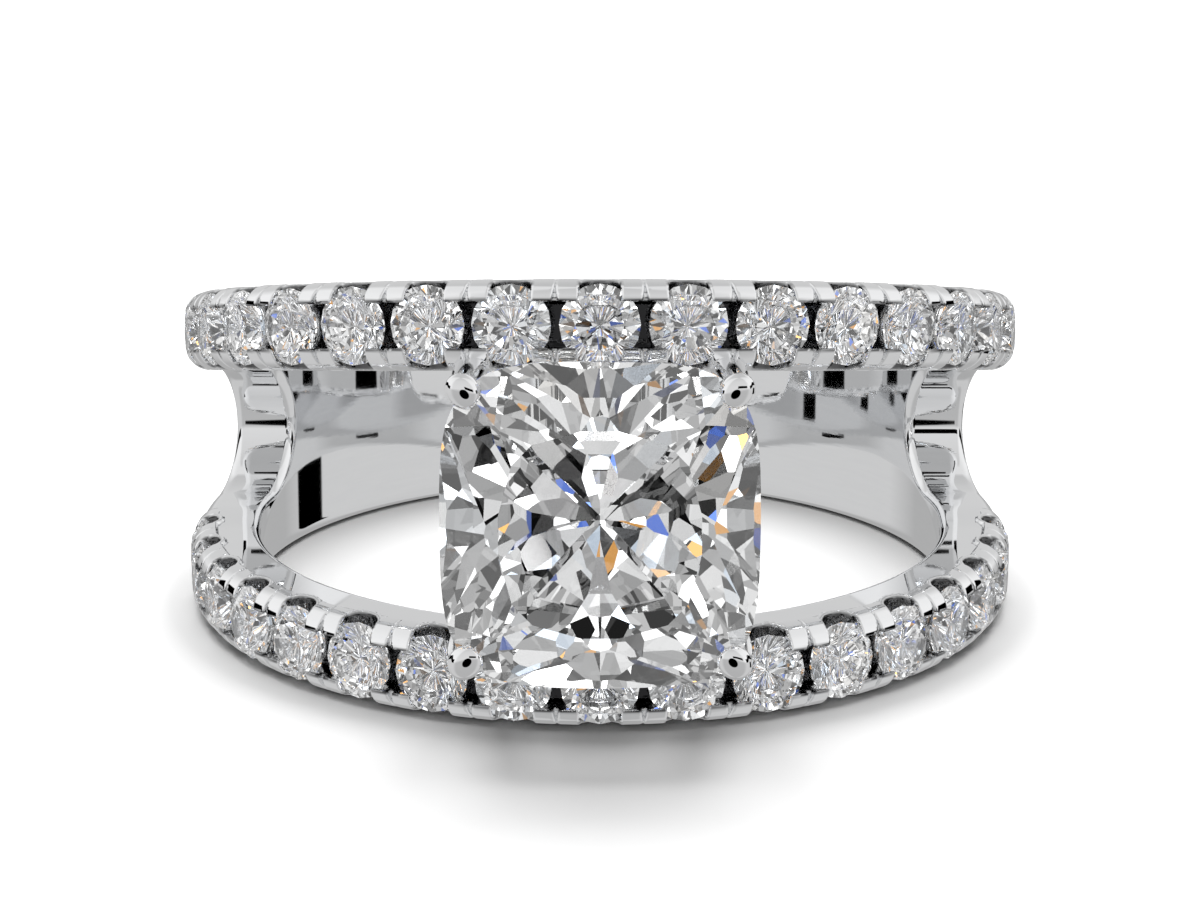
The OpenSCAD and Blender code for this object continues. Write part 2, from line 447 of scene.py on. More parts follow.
@dataclass
class ShankAndArms(MetalWork):
    """The shank, the two arms with their claws, and the bars that join them under the main stone.

    A quarter of the ring is meshed on a grid round the finger axis and mirrored, because the ring is
    the same left and right and above and below its middle plane.
    """

    # The grid: its cells over the arms and over the plain back, and its margins round the metal.
    fine: float = 0.05
    coarse: float = 0.22
    split_angle: float = 111.0
    margin_in: float = 0.11
    margin_out: float = 0.1
    margin_side: float = 0.25

    # The long edges, which change from the arms' rounding to the back's between two angles in radians.
    back_edge_r: float = 0.31
    arm_edge_r: float = 0.5
    edge_change: tuple[float, float] = (1.4, 1.75)
    finger_edge_r: float = 0.42
    gap_finger_edge_r: float = 0.2

    # What is cut for the stones: the trench, the scallops beside them and their seats.
    trench_half: float = 0.47
    trench_depth: float = 0.45
    trench_edge_r: float = 0.04
    scallop_r: float = 0.43
    scallop_in: float = 0.07
    scallop_edge_r: float = 0.07
    seat_clear: float = 0.02
    seat_edge_r: float = 0.03

    # The strip of the arms' sides that is drawn in under the scallops' rims, and where it ends.
    strip_in: float = 0.09
    strip_rho: float = 9.72
    strip_fade: tuple[float, float] = (-0.03, 0.05)
    strip_end: tuple[float, float] = (math.radians(79), math.radians(90))
    rim_w: float = 0.13

    # The pairs of claws, with a groove that widens towards their tips.
    claw_half: float = 0.5
    claw_tip_w: float = 0.47
    claw_proud: float = 0.14
    claw_bend_r: float = 0.58
    claw_edge_r: float = 0.06
    claw_tip_edge_r: float = 0.05
    claw_root: float = 0.46
    claw_root_edge_r: float = 0.08
    groove_half: float = 0.05
    groove_start: float = 0.1

    # Where shade is painted dark on the metal: in the cuts outside the seats, up to a given number of
    # steps past the last stone, and on the claws' inner lips.
    painted_shade_seat: float = 0.08
    painted_shade_fade: float = 0.06
    painted_shade_end: float = 0.6
    scallop_light: float = 0.012
    lip_in: float = 0.03
    lip_low: float = 0.05
    lip_end: float = 0.08

    # The fillet between the bars and the arms.
    solder_r: float = 0.12

    def body(self, at: Spots, inset: Array) -> Array:
        """Finds the distance to the split shank before the stones' places are cut.

        Args:
            at: Where the points lie.
            inset: How far the arms' sides are drawn in there.

        Returns:
            Signed distances.
        """
        s = self.sizes
        c, t = math.cos(s.tilt), math.sin(s.tilt)
        side = (at.z - s.side_z(at.y)) * c + inset
        behind = (at.y - s.gap_end_y) * c - at.z * t > 0
        round_end = np.hypot(at.y - s.gap_end_y, at.z) - s.gap_end_r
        wall = (at.y - s.gap_end_y) * t + at.z * c - s.gap_end_r
        gap = inset - np.where(behind, round_end, wall)
        outer, inner = at.rho - s.outer_r, s.finger_r - at.rho
        edge_r = self.arm_edge_r + (self.back_edge_r - self.arm_edge_r) * ease(at.angle, *self.edge_change)
        form = np.maximum(round_and(outer, side, edge_r), round_and(outer, gap, edge_r))
        form = np.maximum(form, round_and(inner, side, self.finger_edge_r))
        return np.maximum(form, round_and(inner, gap, self.gap_finger_edge_r))

    def stone(self, at: Spots) -> tuple[Array, Array]:
        """Finds the distances to the nearest small stone and to its open seat.

        Args:
            at: Where the points lie.

        Returns:
            Distances to the whole stone, and to its pavilion and all that lies over it.
        """
        s = self.sizes
        crown, pavilion = math.radians(s.crown_angle), math.radians(s.pavilion_angle)
        out = np.hypot(at.tangent, at.across) - s.small_r
        height = at.up - s.small_rho
        lower = out * math.sin(pavilion) - (height + s.small_girdle) * math.cos(pavilion)
        seat = np.maximum(out, lower) - self.seat_clear
        upper = out * math.sin(crown) + height * math.cos(crown)
        return np.maximum(seat, upper - self.seat_clear), seat

    def scallop(self, at: Spots) -> Array:
        """Distance to the round cut through the arm beside the nearest stone."""
        return np.hypot(at.tangent, at.up - self.sizes.outer_r + self.scallop_in) - self.scallop_r

    def trench(self, at: Spots) -> Array:
        """Finds the distance to the trench along the arm, which ends at the last stone.

        Args:
            at: Where the points lie.

        Returns:
            Signed distances.
        """
        s = self.sizes
        trench = np.maximum(at.across - self.trench_half, s.outer_r - self.trench_depth - at.rho)
        return np.maximum(trench, (at.angle - s.last * s.step) * at.rho)

    def inset(self, at: Spots) -> Array:
        """How far the arms' sides are drawn in, below the scallops' rims and up to the plain shank."""
        plain = ease(np.minimum(self.strip_rho - at.rho, self.scallop(at) - self.rim_w), *self.strip_fade)
        return self.strip_in * plain * (1 - ease(at.angle, *self.strip_end))

    def claws(self, at: Spots) -> Array:
        """Finds the distance to the pair of claws on each side of a block.

        Args:
            at: Where the points lie.

        Returns:
            Signed distances.
        """
        edge = self.sizes.arm_w / 2
        height = at.rho - self.sizes.outer_r
        spread = self.groove_half * ease(edge - at.across, self.groove_start, edge - self.claw_tip_w)
        width = np.maximum(spread - at.along, at.along - self.claw_half)
        bend = round_and(at.across - edge, height - self.claw_proud, self.claw_bend_r)
        tip = round_and(self.claw_tip_w - at.across, height - self.claw_proud, self.claw_tip_edge_r)
        root = round_and(-(height + self.claw_root), at.across - edge, self.claw_root_edge_r)
        length = np.maximum(np.maximum(bend, tip), root)
        return round_and(width, length, self.claw_edge_r)

    def bars(self, at: Spots) -> Array:
        """Finds the distance to the two bars that join the arms under the main stone.

        Args:
            at: Where the points lie.

        Returns:
            Signed distances.
        """
        s = self.sizes
        bar_y = -(s.finger_r + s.bar_r + s.bar_in)
        bar = np.hypot(at.x - s.claw_x + s.bar_in, at.y - bar_y) - s.bar_r
        return np.maximum(bar, at.z - s.claw_z - s.bar_r)

    def distance(self, points: Array) -> Array:
        """Finds the distance to all the metal but the head's claws.

        Args:
            points: N by 3 ring points.

        Returns:
            Signed distances.
        """
        at = Spots.of(points, self.sizes)
        stone, seat = self.stone(at)
        form = self.body(at, self.inset(at))
        form = round_and(form, -self.trench(at), self.trench_edge_r)
        form = round_and(form, -self.scallop(at), self.scallop_edge_r)
        form = round_and(form, -seat, self.seat_edge_r)
        form = np.minimum(form, np.maximum(self.claws(at), -stone))
        return round_or(form, self.bars(at), self.solder_r)

    def hollow(self, points: Array) -> Array:
        """Finds the shade painted on the metal in the cuts for the stones and on the claws' inner lips.

        Args:
            points: N by 3 ring points on the metal.

        Returns:
            Shares from 0 to 1.
        """
        s = self.sizes
        at = Spots.of(points, s)
        cuts = np.minimum(self.trench(at), self.scallop(at) + self.scallop_light)
        cuts = np.maximum(cuts, self.painted_shade_seat - self.stone(at)[1])
        lip = np.abs(at.across - self.claw_tip_w - self.lip_in)
        lip = np.maximum(lip, s.outer_r + self.lip_low - at.rho)
        lip = np.maximum(lip, np.abs(at.along - self.claw_half / 2) - self.claw_half / 2 + self.lip_end)
        past_end = at.angle > (s.last + self.painted_shade_end) * s.step
        return 1 - ease(np.where(past_end, 1, np.minimum(cuts, lip)), 0.0, self.painted_shade_fade)

    def grid(self) -> list[Array]:
        """Spaces the quarter's grid, finely over the arms and coarsely round the back.

        Returns:
            Distances from the finger axis, angles from the head, and heights.
        """
        s = self.sizes
        pitch = self.fine / s.outer_r
        arms = np.arange(-pitch / 2, math.radians(self.split_angle), pitch)
        steps = math.ceil((math.pi - arms[-1]) * s.outer_r / self.coarse)
        back = (math.pi - arms[-1]) / (steps - 0.5)
        angles = np.concatenate([arms, arms[-1] + back * np.arange(1, steps + 1)])
        top = s.outer_r + self.claw_proud + self.margin_out
        rhos = np.arange(s.finger_r - self.margin_in, top, self.fine)
        heights = np.arange(-self.fine / 2, s.side_z(-s.outer_r) + self.margin_side, self.fine)
        return [rhos, angles, heights]

    @staticmethod
    def place(g: Array) -> Array:
        """Ring points of the grid coordinates distance, angle and height."""
        return np.stack([g[:, 0] * np.sin(g[:, 1]), -g[:, 0] * np.cos(g[:, 1]), g[:, 2]], 1)

    def quarter(self) -> tuple[Skin, Skin]:
        """Meshes the upper right quarter, with its rims exactly in the planes of the mirrors.

        Returns:
            The skins of the arm's half and of the back.
        """
        axes = self.grid()
        net = SurfaceNet(self.distance, self.place, axes)
        points, normals = net.points, net.normals
        hollow = self.hollow(points)
        ends = np.isin(net.cells[:, 1], (0, len(axes[1]) - 2))
        for column, cells in ((0, ends), (2, net.cells[:, 2] == 0)):
            points[cells, column] = 0
            normals[cells, column] = 0
        middle = points[net.quads].mean(1)
        in_arm = np.arctan2(middle[:, 0], -middle[:, 1]) < math.radians(self.split_angle)
        arm = Skin(points, normals, net.quads[in_arm], hollow)
        return arm, Skin(points, normals, net.quads[~in_arm])

    def build(self, finish: dict[Metal, Material]) -> list[Piece]:
        """Makes the four halves of the arms and the shank's back.

        Args:
            finish: The metal's materials.

        Returns:
            The pieces, dressed.
        """
        arm, back = self.quarter()
        pieces = []
        for quarter in Quarter:
            level, side = quarter.words
            piece = arm.mirrored(quarter).piece(f"{level}_arm_{side}", self.sizes)
            self.dress(piece, finish[Metal.ARMS])
            pieces.append(piece)
        back = Skin.joined([back.mirrored(quarter) for quarter in Quarter])
        shank = back.piece("shank_back", self.sizes)
        self.dress(shank, finish[Metal.SHANK])
        return [*pieces, shank]


@dataclass
class HeadClaws(MetalWork):
    """The four claws of the head, with round tips that reach over the main stone's corners."""

    cell: float = 0.022
    margin: float = 0.1
    foot_rho: float = 9.0
    foot_r: float = 0.42
    neck_r: float = 0.27
    blend_r: float = 0.12
    stone_clear: float = 0.015
    stone_edge_r: float = 0.03

    # The tip is longer towards the stone than it is wide, and its top is ground flat.
    tip_rho: float = 12.4
    tip_long: float = 0.38
    tip_wide: float = 0.315
    tip_high: float = 0.3
    tip_lean: float = 0.05
    tip_flat: float = 0.245
    tip_edge_r: float = 0.09

    def __post_init__(self) -> None:
        """Reads the main stone's facets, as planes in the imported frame."""
        mesh = frame["nodes"]["centre_stone"].data
        planes = np.array([[*f.normal, f.normal.dot(f.center)] for f in mesh.polygons])
        self.planes = np.unique(planes.round(6), axis=0)

    def distance(self, points: Array) -> Array:
        """Finds the distance to a claw, with the stone's corner let into it.

        Args:
            points: N by 3 ring points.

        Returns:
            Signed distances.
        """
        s = self.sizes
        out_x, out_z = np.abs(points[:, 0]) - s.claw_x, np.abs(points[:, 2]) - s.claw_z
        rho = -points[:, 1]
        share = np.clip((rho - self.foot_rho) / (self.tip_rho - self.foot_rho), 0, 1)
        post = np.hypot(out_x, out_z) - self.foot_r + (self.foot_r - self.neck_r) * share
        post = np.maximum(post, np.maximum(rho - self.tip_rho, self.foot_rho - rho))
        inward = -(out_x + out_z) / math.sqrt(2) - self.tip_lean
        local = np.stack([inward, (out_x - out_z) / math.sqrt(2), rho - self.tip_rho], 1)
        radii = np.array([self.tip_long, self.tip_wide, self.tip_high])
        near = np.linalg.norm(local / radii, axis=1)
        tip = near * (near - 1) / np.maximum(np.linalg.norm(local / radii ** 2, axis=1), TINY)
        tip = round_and(tip, rho - self.tip_rho - self.tip_flat, self.tip_edge_r)
        claw = round_or(post, tip, self.blend_r)
        reach = (s.laid(points) @ self.planes[:, :3].T - self.planes[:, 3]).max(1) / MM
        return round_and(claw, self.stone_clear - reach, self.stone_edge_r)

    def build(self, finish: dict[Metal, Material]) -> list[Piece]:
        """Meshes one claw and makes the four from it.

        Args:
            finish: The metal's materials.

        Returns:
            The pieces, dressed.
        """
        s = self.sizes
        half = self.foot_r + self.margin
        across = [np.arange(c - half, c + half, self.cell) for c in (s.claw_x, s.claw_z)]
        top = self.tip_rho + self.tip_high + self.margin
        heights = np.arange(-top, self.margin - self.foot_rho, self.cell)
        net = SurfaceNet(self.distance, lambda g: g, [across[0], heights, across[1]])
        claw = Skin(net.points, net.normals, net.quads)
        pieces = []
        for quarter in Quarter:
            level, side = quarter.words
            piece = claw.mirrored(quarter).piece(f"claw_{level}_{side}", s)
            self.dress(piece, finish[Metal.CLAWS])
            pieces.append(piece)
        return pieces


def new_material(name: str) -> tuple[Material, Node, Tree]:
    """Makes a node material.

    Args:
        name: The finish's name.

    Returns:
        The material, its Principled shader and its tree.
    """
    material = bpy.data.materials.new(name)
    material.use_nodes = True
    tree = material.node_tree
    shader = next(n for n in tree.nodes if n.type == "BSDF_PRINCIPLED")
    return material, shader, tree


def add_node(tree: Tree, kind: str, inputs: dict[str | int, object] | None = None,
             **settings: object) -> Node:
    """Adds a node.

    Args:
        tree: The node tree.
        kind: The node's type.
        inputs: The values of its input sockets, by name or number.
        settings: The node's own settings.

    Returns:
        The node.
    """
    node = tree.nodes.new(kind)
    for setting, value in settings.items():
        setattr(node, setting, value)
    for socket, value in (inputs or {}).items():
        node.inputs[socket].default_value = value
    return node


def add_sum(tree: Tree, operation: str, *terms: Socket | float) -> Socket:
    """Adds a Math node.

    Args:
        tree: The node tree.
        operation: What the node works out.
        terms: Sockets to link and numbers to set, in the order of its inputs.

    Returns:
        The node's output.
    """
    node = add_node(tree, "ShaderNodeMath", operation=operation)
    for socket, term in zip(node.inputs, terms):
        if isinstance(term, Socket):
            tree.links.new(term, socket)
        else:
            socket.default_value = term
    return node.outputs["Value"]


def add_ramp(tree: Tree, factor: Socket, stops: list[tuple[float, Colour]],
             steps: bool = False) -> Socket:
    """Adds a colour ramp.

    Args:
        tree: The node tree.
        factor: What the ramp is read at.
        stops: Places and colours along the ramp.
        steps: True for sharp steps between the colours.

    Returns:
        The ramp's colour.
    """
    node = add_node(tree, "ShaderNodeValToRGB")
    node.color_ramp.interpolation = "CONSTANT" if steps else "LINEAR"
    elements = node.color_ramp.elements
    while len(elements) < len(stops):
        elements.new(1.0)
    for element, (place, colour) in zip(elements, stops):
        element.position = place
        element.color = (*colour, 1)
    tree.links.new(factor, node.inputs["Fac"])
    return node.outputs["Color"]


def greys(shades: Shades) -> list[tuple[float, Colour]]:
    """Ramp stops of plain greys."""
    return [(place, (shade, shade, shade)) for place, shade in shades]


class PolishMarks:
    """The shared effect of a polished surface: faint wipe marks and fine hairlines."""

    NAME = "polish marks"
    INPUTS = {"Wipe Scale": 400.0, "Low": 0.02, "High": 0.06}
    HAIR_SCALE = (900, 900, 9000)

    @classmethod
    def group(cls) -> Tree:
        """Gives the node group, which is made once.

        Returns:
            The group, which puts out a roughness and a height.
        """
        if cls.NAME in bpy.data.node_groups:
            return bpy.data.node_groups[cls.NAME]
        tree = bpy.data.node_groups.new(cls.NAME, "ShaderNodeTree")
        for name, default in cls.INPUTS.items():
            socket = tree.interface.new_socket(name, in_out="INPUT", socket_type="NodeSocketFloat")
            socket.default_value = default
        for name in ("Roughness", "Height"):
            tree.interface.new_socket(name, in_out="OUTPUT", socket_type="NodeSocketFloat")
        inside = add_node(tree, "NodeGroupInput")
        outside = add_node(tree, "NodeGroupOutput")
        place = add_node(tree, "ShaderNodeTexCoord")
        wipes = add_node(tree, "ShaderNodeTexNoise", {"Detail": 4, "Distortion": 1.5})
        spread = add_node(tree, "ShaderNodeMapRange", {"From Min": 0.35, "From Max": 0.7})
        stretch = add_node(tree, "ShaderNodeMapping", {"Scale": cls.HAIR_SCALE})
        hairs = add_node(tree, "ShaderNodeTexNoise", {"Scale": 1, "Detail": 2})
        link = tree.links.new
        link(place.outputs["Object"], wipes.inputs["Vector"])
        link(inside.outputs["Wipe Scale"], wipes.inputs["Scale"])
        link(wipes.outputs["Fac"], spread.inputs["Value"])
        link(inside.outputs["Low"], spread.inputs["To Min"])
        link(inside.outputs["High"], spread.inputs["To Max"])
        link(spread.outputs["Result"], outside.inputs["Roughness"])
        link(place.outputs["Object"], stretch.inputs["Vector"])
        link(stretch.outputs["Vector"], hairs.inputs["Vector"])
        link(hairs.outputs["Fac"], outside.inputs["Height"])
        return tree


@dataclass(frozen=True)
class PolishedMetal:
    """A mirror-polished white metal, with shade painted dark into the cuts for the stones where a shade
    colour is given.
    """

    colour: Colour = (0.9, 0.905, 0.91)
    shade: Colour = (0.86, 0.865, 0.875)
    wipe_scale: float = 400
    low: float = 0.015
    high: float = 0.05
    hairline: float = 0.02
    hairline_deep: float = 0.01
    painted_shade_colour: Colour | None = None

    def paint_shade(self, tree: Tree, colour: Socket) -> Socket:
        """Paints the shade into the metal's colour, as the painted shade attribute gives it.

        Args:
            tree: The material's tree.
            colour: The metal's colour outside the painted shade.

        Returns:
            The colour everywhere.
        """
        hollow = add_node(tree, "ShaderNodeAttribute", attribute_name=PAINTED_SHADE)
        painted_shade_mix = add_node(tree, "ShaderNodeMix", {"B": (*self.painted_shade_colour, 1)}, data_type="RGBA")
        tree.links.new(hollow.outputs["Fac"], painted_shade_mix.inputs["Factor"])
        tree.links.new(colour, painted_shade_mix.inputs["A"])
        return painted_shade_mix.outputs["Result"]

    def make(self, name: str) -> Material:
        """Builds the material.

        Args:
            name: The material's name.

        Returns:
            The material.
        """
        material, shader, tree = new_material(name)
        link = tree.links.new
        levels = {"Wipe Scale": self.wipe_scale, "Low": self.low, "High": self.high}
        marks = add_node(tree, "ShaderNodeGroup", levels, node_tree=PolishMarks.group())
        colour = add_ramp(tree, marks.outputs["Height"], [(0.0, self.shade), (1.0, self.colour)])
        # Shade is painted dark into the cuts for the stones where a shade colour is given.
        if self.painted_shade_colour:
            colour = self.paint_shade(tree, colour)
        depth = {"Strength": self.hairline, "Distance": self.hairline_deep * MM}
        bump = add_node(tree, "ShaderNodeBump", depth)
        shader.inputs["Metallic"].default_value = 1
        link(colour, shader.inputs["Base Color"])
        link(marks.outputs["Roughness"], shader.inputs["Roughness"])
        link(marks.outputs["Height"], bump.inputs["Height"])
        link(bump.outputs["Normal"], shader.inputs["Normal"])
        return material


METAL_FINISHES = {
    Metal.SHANK: PolishedMetal(wipe_scale=260),
    # The arms' metal has shade painted near black into the cuts for the stones and on the claws' lips.
    Metal.ARMS: PolishedMetal(painted_shade_colour=(0.04, 0.04, 0.042)),
    Metal.CLAWS: PolishedMetal(colour=(0.92, 0.92, 0.925), low=0.01, high=0.03),
}


@dataclass(frozen=True)
class CutStone:
    """A colourless brilliant-cut stone, whose facets carry painted fire and a painted glow.

    Each facet has a random value, which is read from its direction in steps of snap. The value tints
    the facet warm or cool, painted fire that stands in for light parted into its colours, and sets how
    brightly the facet gives off a painted glow that stands in for light still inside after last_echo
    reflections.
    """

    ior: float = 2.417
    snap: float = 0.05
    last_echo: float = 3.5
    painted_glow_shades: Shades = ((0.0, 0.0), (0.35, 0.08), (0.9, 0.6))
    plain: Colour = (0.985, 0.99, 0.995)
    warm: Colour = (1.0, 0.955, 0.88)
    cool: Colour = (0.86, 0.93, 1.0)
    warm_end: float = 0.12
    cool_start: float = 0.86

    def facets(self, tree: Tree) -> Socket:
        """Gives each facet a random value.

        Args:
            tree: The material's tree.

        Returns:
            The value, from 0 to 1.
        """
        surface = add_node(tree, "ShaderNodeNewGeometry")
        snap = add_node(tree, "ShaderNodeVectorMath", {1: (self.snap,) * 3}, operation="SNAP")
        noise = add_node(tree, "ShaderNodeTexWhiteNoise", noise_dimensions="3D")
        tree.links.new(surface.outputs["True Normal"], snap.inputs[0])
        tree.links.new(snap.outputs["Vector"], noise.inputs["Vector"])
        return noise.outputs["Value"]

    def glow(self, tree: Tree, facets: Socket) -> Socket:
        """Works out the painted glow that each facet gives off, which stands in for light still deep
        inside the stone.

        Args:
            tree: The material's tree.
            facets: Each facet's random value.

        Returns:
            The colour of the glow.
        """
        path = add_node(tree, "ShaderNodeLightPath")
        mirror = add_node(tree, "ShaderNodeFresnel", {"IOR": self.ior})
        deep = add_sum(tree, "GREATER_THAN", path.outputs["Glossy Depth"], self.last_echo)
        kept = add_sum(tree, "MULTIPLY", deep, mirror.outputs["Fac"])
        glow = add_node(tree, "ShaderNodeMix", {"A": (0, 0, 0, 1)}, data_type="RGBA")
        tree.links.new(kept, glow.inputs["Factor"])
        tree.links.new(add_ramp(tree, facets, greys(self.painted_glow_shades)), glow.inputs["B"])
        return glow.outputs["Result"]

    def make(self, name: str) -> Material:
        """Builds the material.

        Args:
            name: The material's name.

        Returns:
            The material.
        """
        material, shader, tree = new_material(name)
        facets = self.facets(tree)
        # Painted fire: each facet is tinted warm or cool at random, standing in for light parted into its
        # colours.
        plain = [(self.warm_end, self.plain), (self.cool_start, self.plain)]
        tint = add_ramp(tree, facets, [(0.0, self.warm), *plain, (1.0, self.cool)])
        tree.links.new(tint, shader.inputs["Base Color"])
        # A painted glow: the facets give off light that stands in for light still deep inside the stone.
        tree.links.new(self.glow(tree, facets), shader.inputs["Emission Color"])
        shader.inputs["Emission Strength"].default_value = 1
        shader.inputs["Roughness"].default_value = 0
        shader.inputs["IOR"].default_value = self.ior
        shader.inputs["Transmission Weight"].default_value = 1
        material.cycles.emission_sampling = "NONE"
        return material


@dataclass(frozen=True)
class Tier:
    """A row of facets that lie alike round the stone.

    The first of its count facets stands at turn, in degrees. Its planes pass cut deep under the stone's
    face where they are share of the way from the stone's axis to its outline, and would rise by rise
    from the outline to the axis.
    """

    count: int
    turn: float
    share: float
    cut: float
    rise: float


@dataclass
class MainStone:
    """The cushion-cut main stone, cut facet by facet from a prism of its outline."""

    sizes: RingSizes
    half_x: float = 3.15
    half_z: float = 3.25
    power: float = 3.8
    girdle: float = 0.16
    crown: float = 0.94
    pavilion: float = 2.95
    outline_points: int = 96
    weld: float = 0.0005
    crown_tiers: tuple[Tier, ...] = (
        Tier(16, 11.25, 1.0, 0.0, 2.6),
        Tier(8, 22.5, 0.92, 0.03, 2.15),
        Tier(8, 0.0, 0.68, 0.03, 1.5),
    )
    pavilion_tiers: tuple[Tier, ...] = (
        Tier(32, 5.625, 1.0, 0.0, -3.6),
        Tier(16, 11.25, 0.88, 0.03, -3.25),
        Tier(16, 0.0, 0.7, 0.04, -3.0),
        Tier(8, 22.5, 0.5, 0.04, -2.85),
        Tier(8, 0.0, 0.3, 0.03, -2.7),
    )

    def outline(self, turn: float) -> Array:
        """Finds a point of the stone's outline.

        Args:
            turn: Its angle round the stone, in degrees.

        Returns:
            The point, across and along the ring's width.
        """
        c, s = math.cos(math.radians(turn)), math.sin(math.radians(turn))
        bend = 2 / self.power
        return np.array([self.half_x * math.copysign(abs(c) ** bend, c),
                         self.half_z * math.copysign(abs(s) ** bend, s)])

    def touch(self, turn: float) -> Array:
        """Finds the line that touches the outline at one of its points.

        Args:
            turn: The point's angle round the stone, in degrees.

        Returns:
            The line as g, where g . point = 1.
        """
        halves = np.array([self.half_x, self.half_z])
        share = self.outline(turn) / halves
        return np.sign(share) * np.abs(share) ** (self.power - 1) / halves

    def grind(self, stone: bmesh.types.BMesh, tiers: tuple[Tier, ...], start: float, side: int) -> None:
        """Cuts the facets of one side of the girdle.

        Args:
            stone: The stone so far.
            tiers: The rows of facets, from the girdle to the middle.
            start: Height of the girdle's edge on this side.
            side: 1 for the crown and -1 for the pavilion.
        """
        planes = []
        for tier in tiers:
            row = []
            for k in range(tier.count):
                turn = tier.turn + 360 * k / tier.count
                slope, place = self.touch(turn) * tier.rise, self.outline(turn) * tier.share
                faces = [top - lean @ (place - at) for lean, at, top in planes] or [start]
                height = side * min(side * face for face in faces) - side * tier.cut
                row.append((slope, place, height))
            planes += row
        for slope, place, height in planes:
            parts = stone.verts[:] + stone.edges[:] + stone.faces[:]
            result = bmesh.ops.bisect_plane(
                stone, geom=parts, dist=TINY, clear_outer=True, plane_co=Vector((*place, height)),
                plane_no=Vector((*slope, 1)).normalized() * side)
            rim = [e for e in result["geom_cut"] if isinstance(e, bmesh.types.BMEdge)]
            if len(rim) > 2:
                bmesh.ops.contextual_create(stone, geom=rim)

    def blank(self) -> bmesh.types.BMesh:
        """Makes the prism that the stone is cut from.

        Returns:
            The prism, from the pavilion's point to the table.
        """
        stone = bmesh.new()
        turns = [360 * i / self.outline_points for i in range(self.outline_points)]
        bottom = -self.girdle - self.pavilion
        rim = [stone.verts.new((*self.outline(t), bottom)) for t in turns]
        body = bmesh.ops.extrude_face_region(stone, geom=[stone.faces.new(rim)])
        raised = [v for v in body["geom"] if isinstance(v, bmesh.types.BMVert)]
        bmesh.ops.translate(stone, vec=(0, 0, self.crown - bottom), verts=raised)
        bmesh.ops.recalc_face_normals(stone, faces=stone.faces[:])
        return stone

    def build(self, material: Material) -> Piece:
        """Cuts the stone and sets it in its place.

        Args:
            material: Its finish.

        Returns:
            The stone, dressed.
        """
        stone = self.blank()
        self.grind(stone, self.crown_tiers, 0, 1)
        self.grind(stone, self.pavilion_tiers, -self.girdle, -1)
        s = self.sizes
        places = np.array([[v.co.x, -v.co.z - s.main_rho - self.girdle / 2, v.co.y] for v in stone.verts])
        for vertex, place in zip(stone.verts, s.laid(places)):
            vertex.co = place
        bmesh.ops.remove_doubles(stone, verts=stone.verts[:], dist=self.weld * MM)
        bmesh.ops.recalc_face_normals(stone, faces=stone.faces[:])
        mesh = bpy.data.meshes.new("main_stone")
        stone.to_mesh(mesh)
        stone.free()
        piece = bpy.data.objects.new("main_stone", mesh)
        bpy.context.scene.collection.objects.link(piece)
        self.dress(piece, material)
        return piece

    def dress(self, piece: Piece, material: Material) -> None:
        """Gives the stone its finish and its place on the ring.

        Args:
            piece: The stone.
            material: Its finish.
        """
        piece.data.materials.append(material)
        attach(piece, "root")
        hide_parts("centre_stone")


@dataclass(frozen=True)
class SmallStones:
    """The round stones of both arms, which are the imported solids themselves."""

    mark: str = "_stone_"

    def dress(self, material: Material) -> list[Piece]:
        """Gives the stones their finish.

        Args:
            material: The finish.

        Returns:
            The stones.
        """
        stones = [node for name, node in frame["nodes"].items() if self.mark in name]
        for stone in stones:
            for slot in stone.material_slots:
                slot.material = material
        return stones


@dataclass(frozen=True)
class Panel:
    """A dark panel on the room's wall, between two turns from the front and two rises, in degrees."""

    left: float
    right: float
    low: float
    high: float


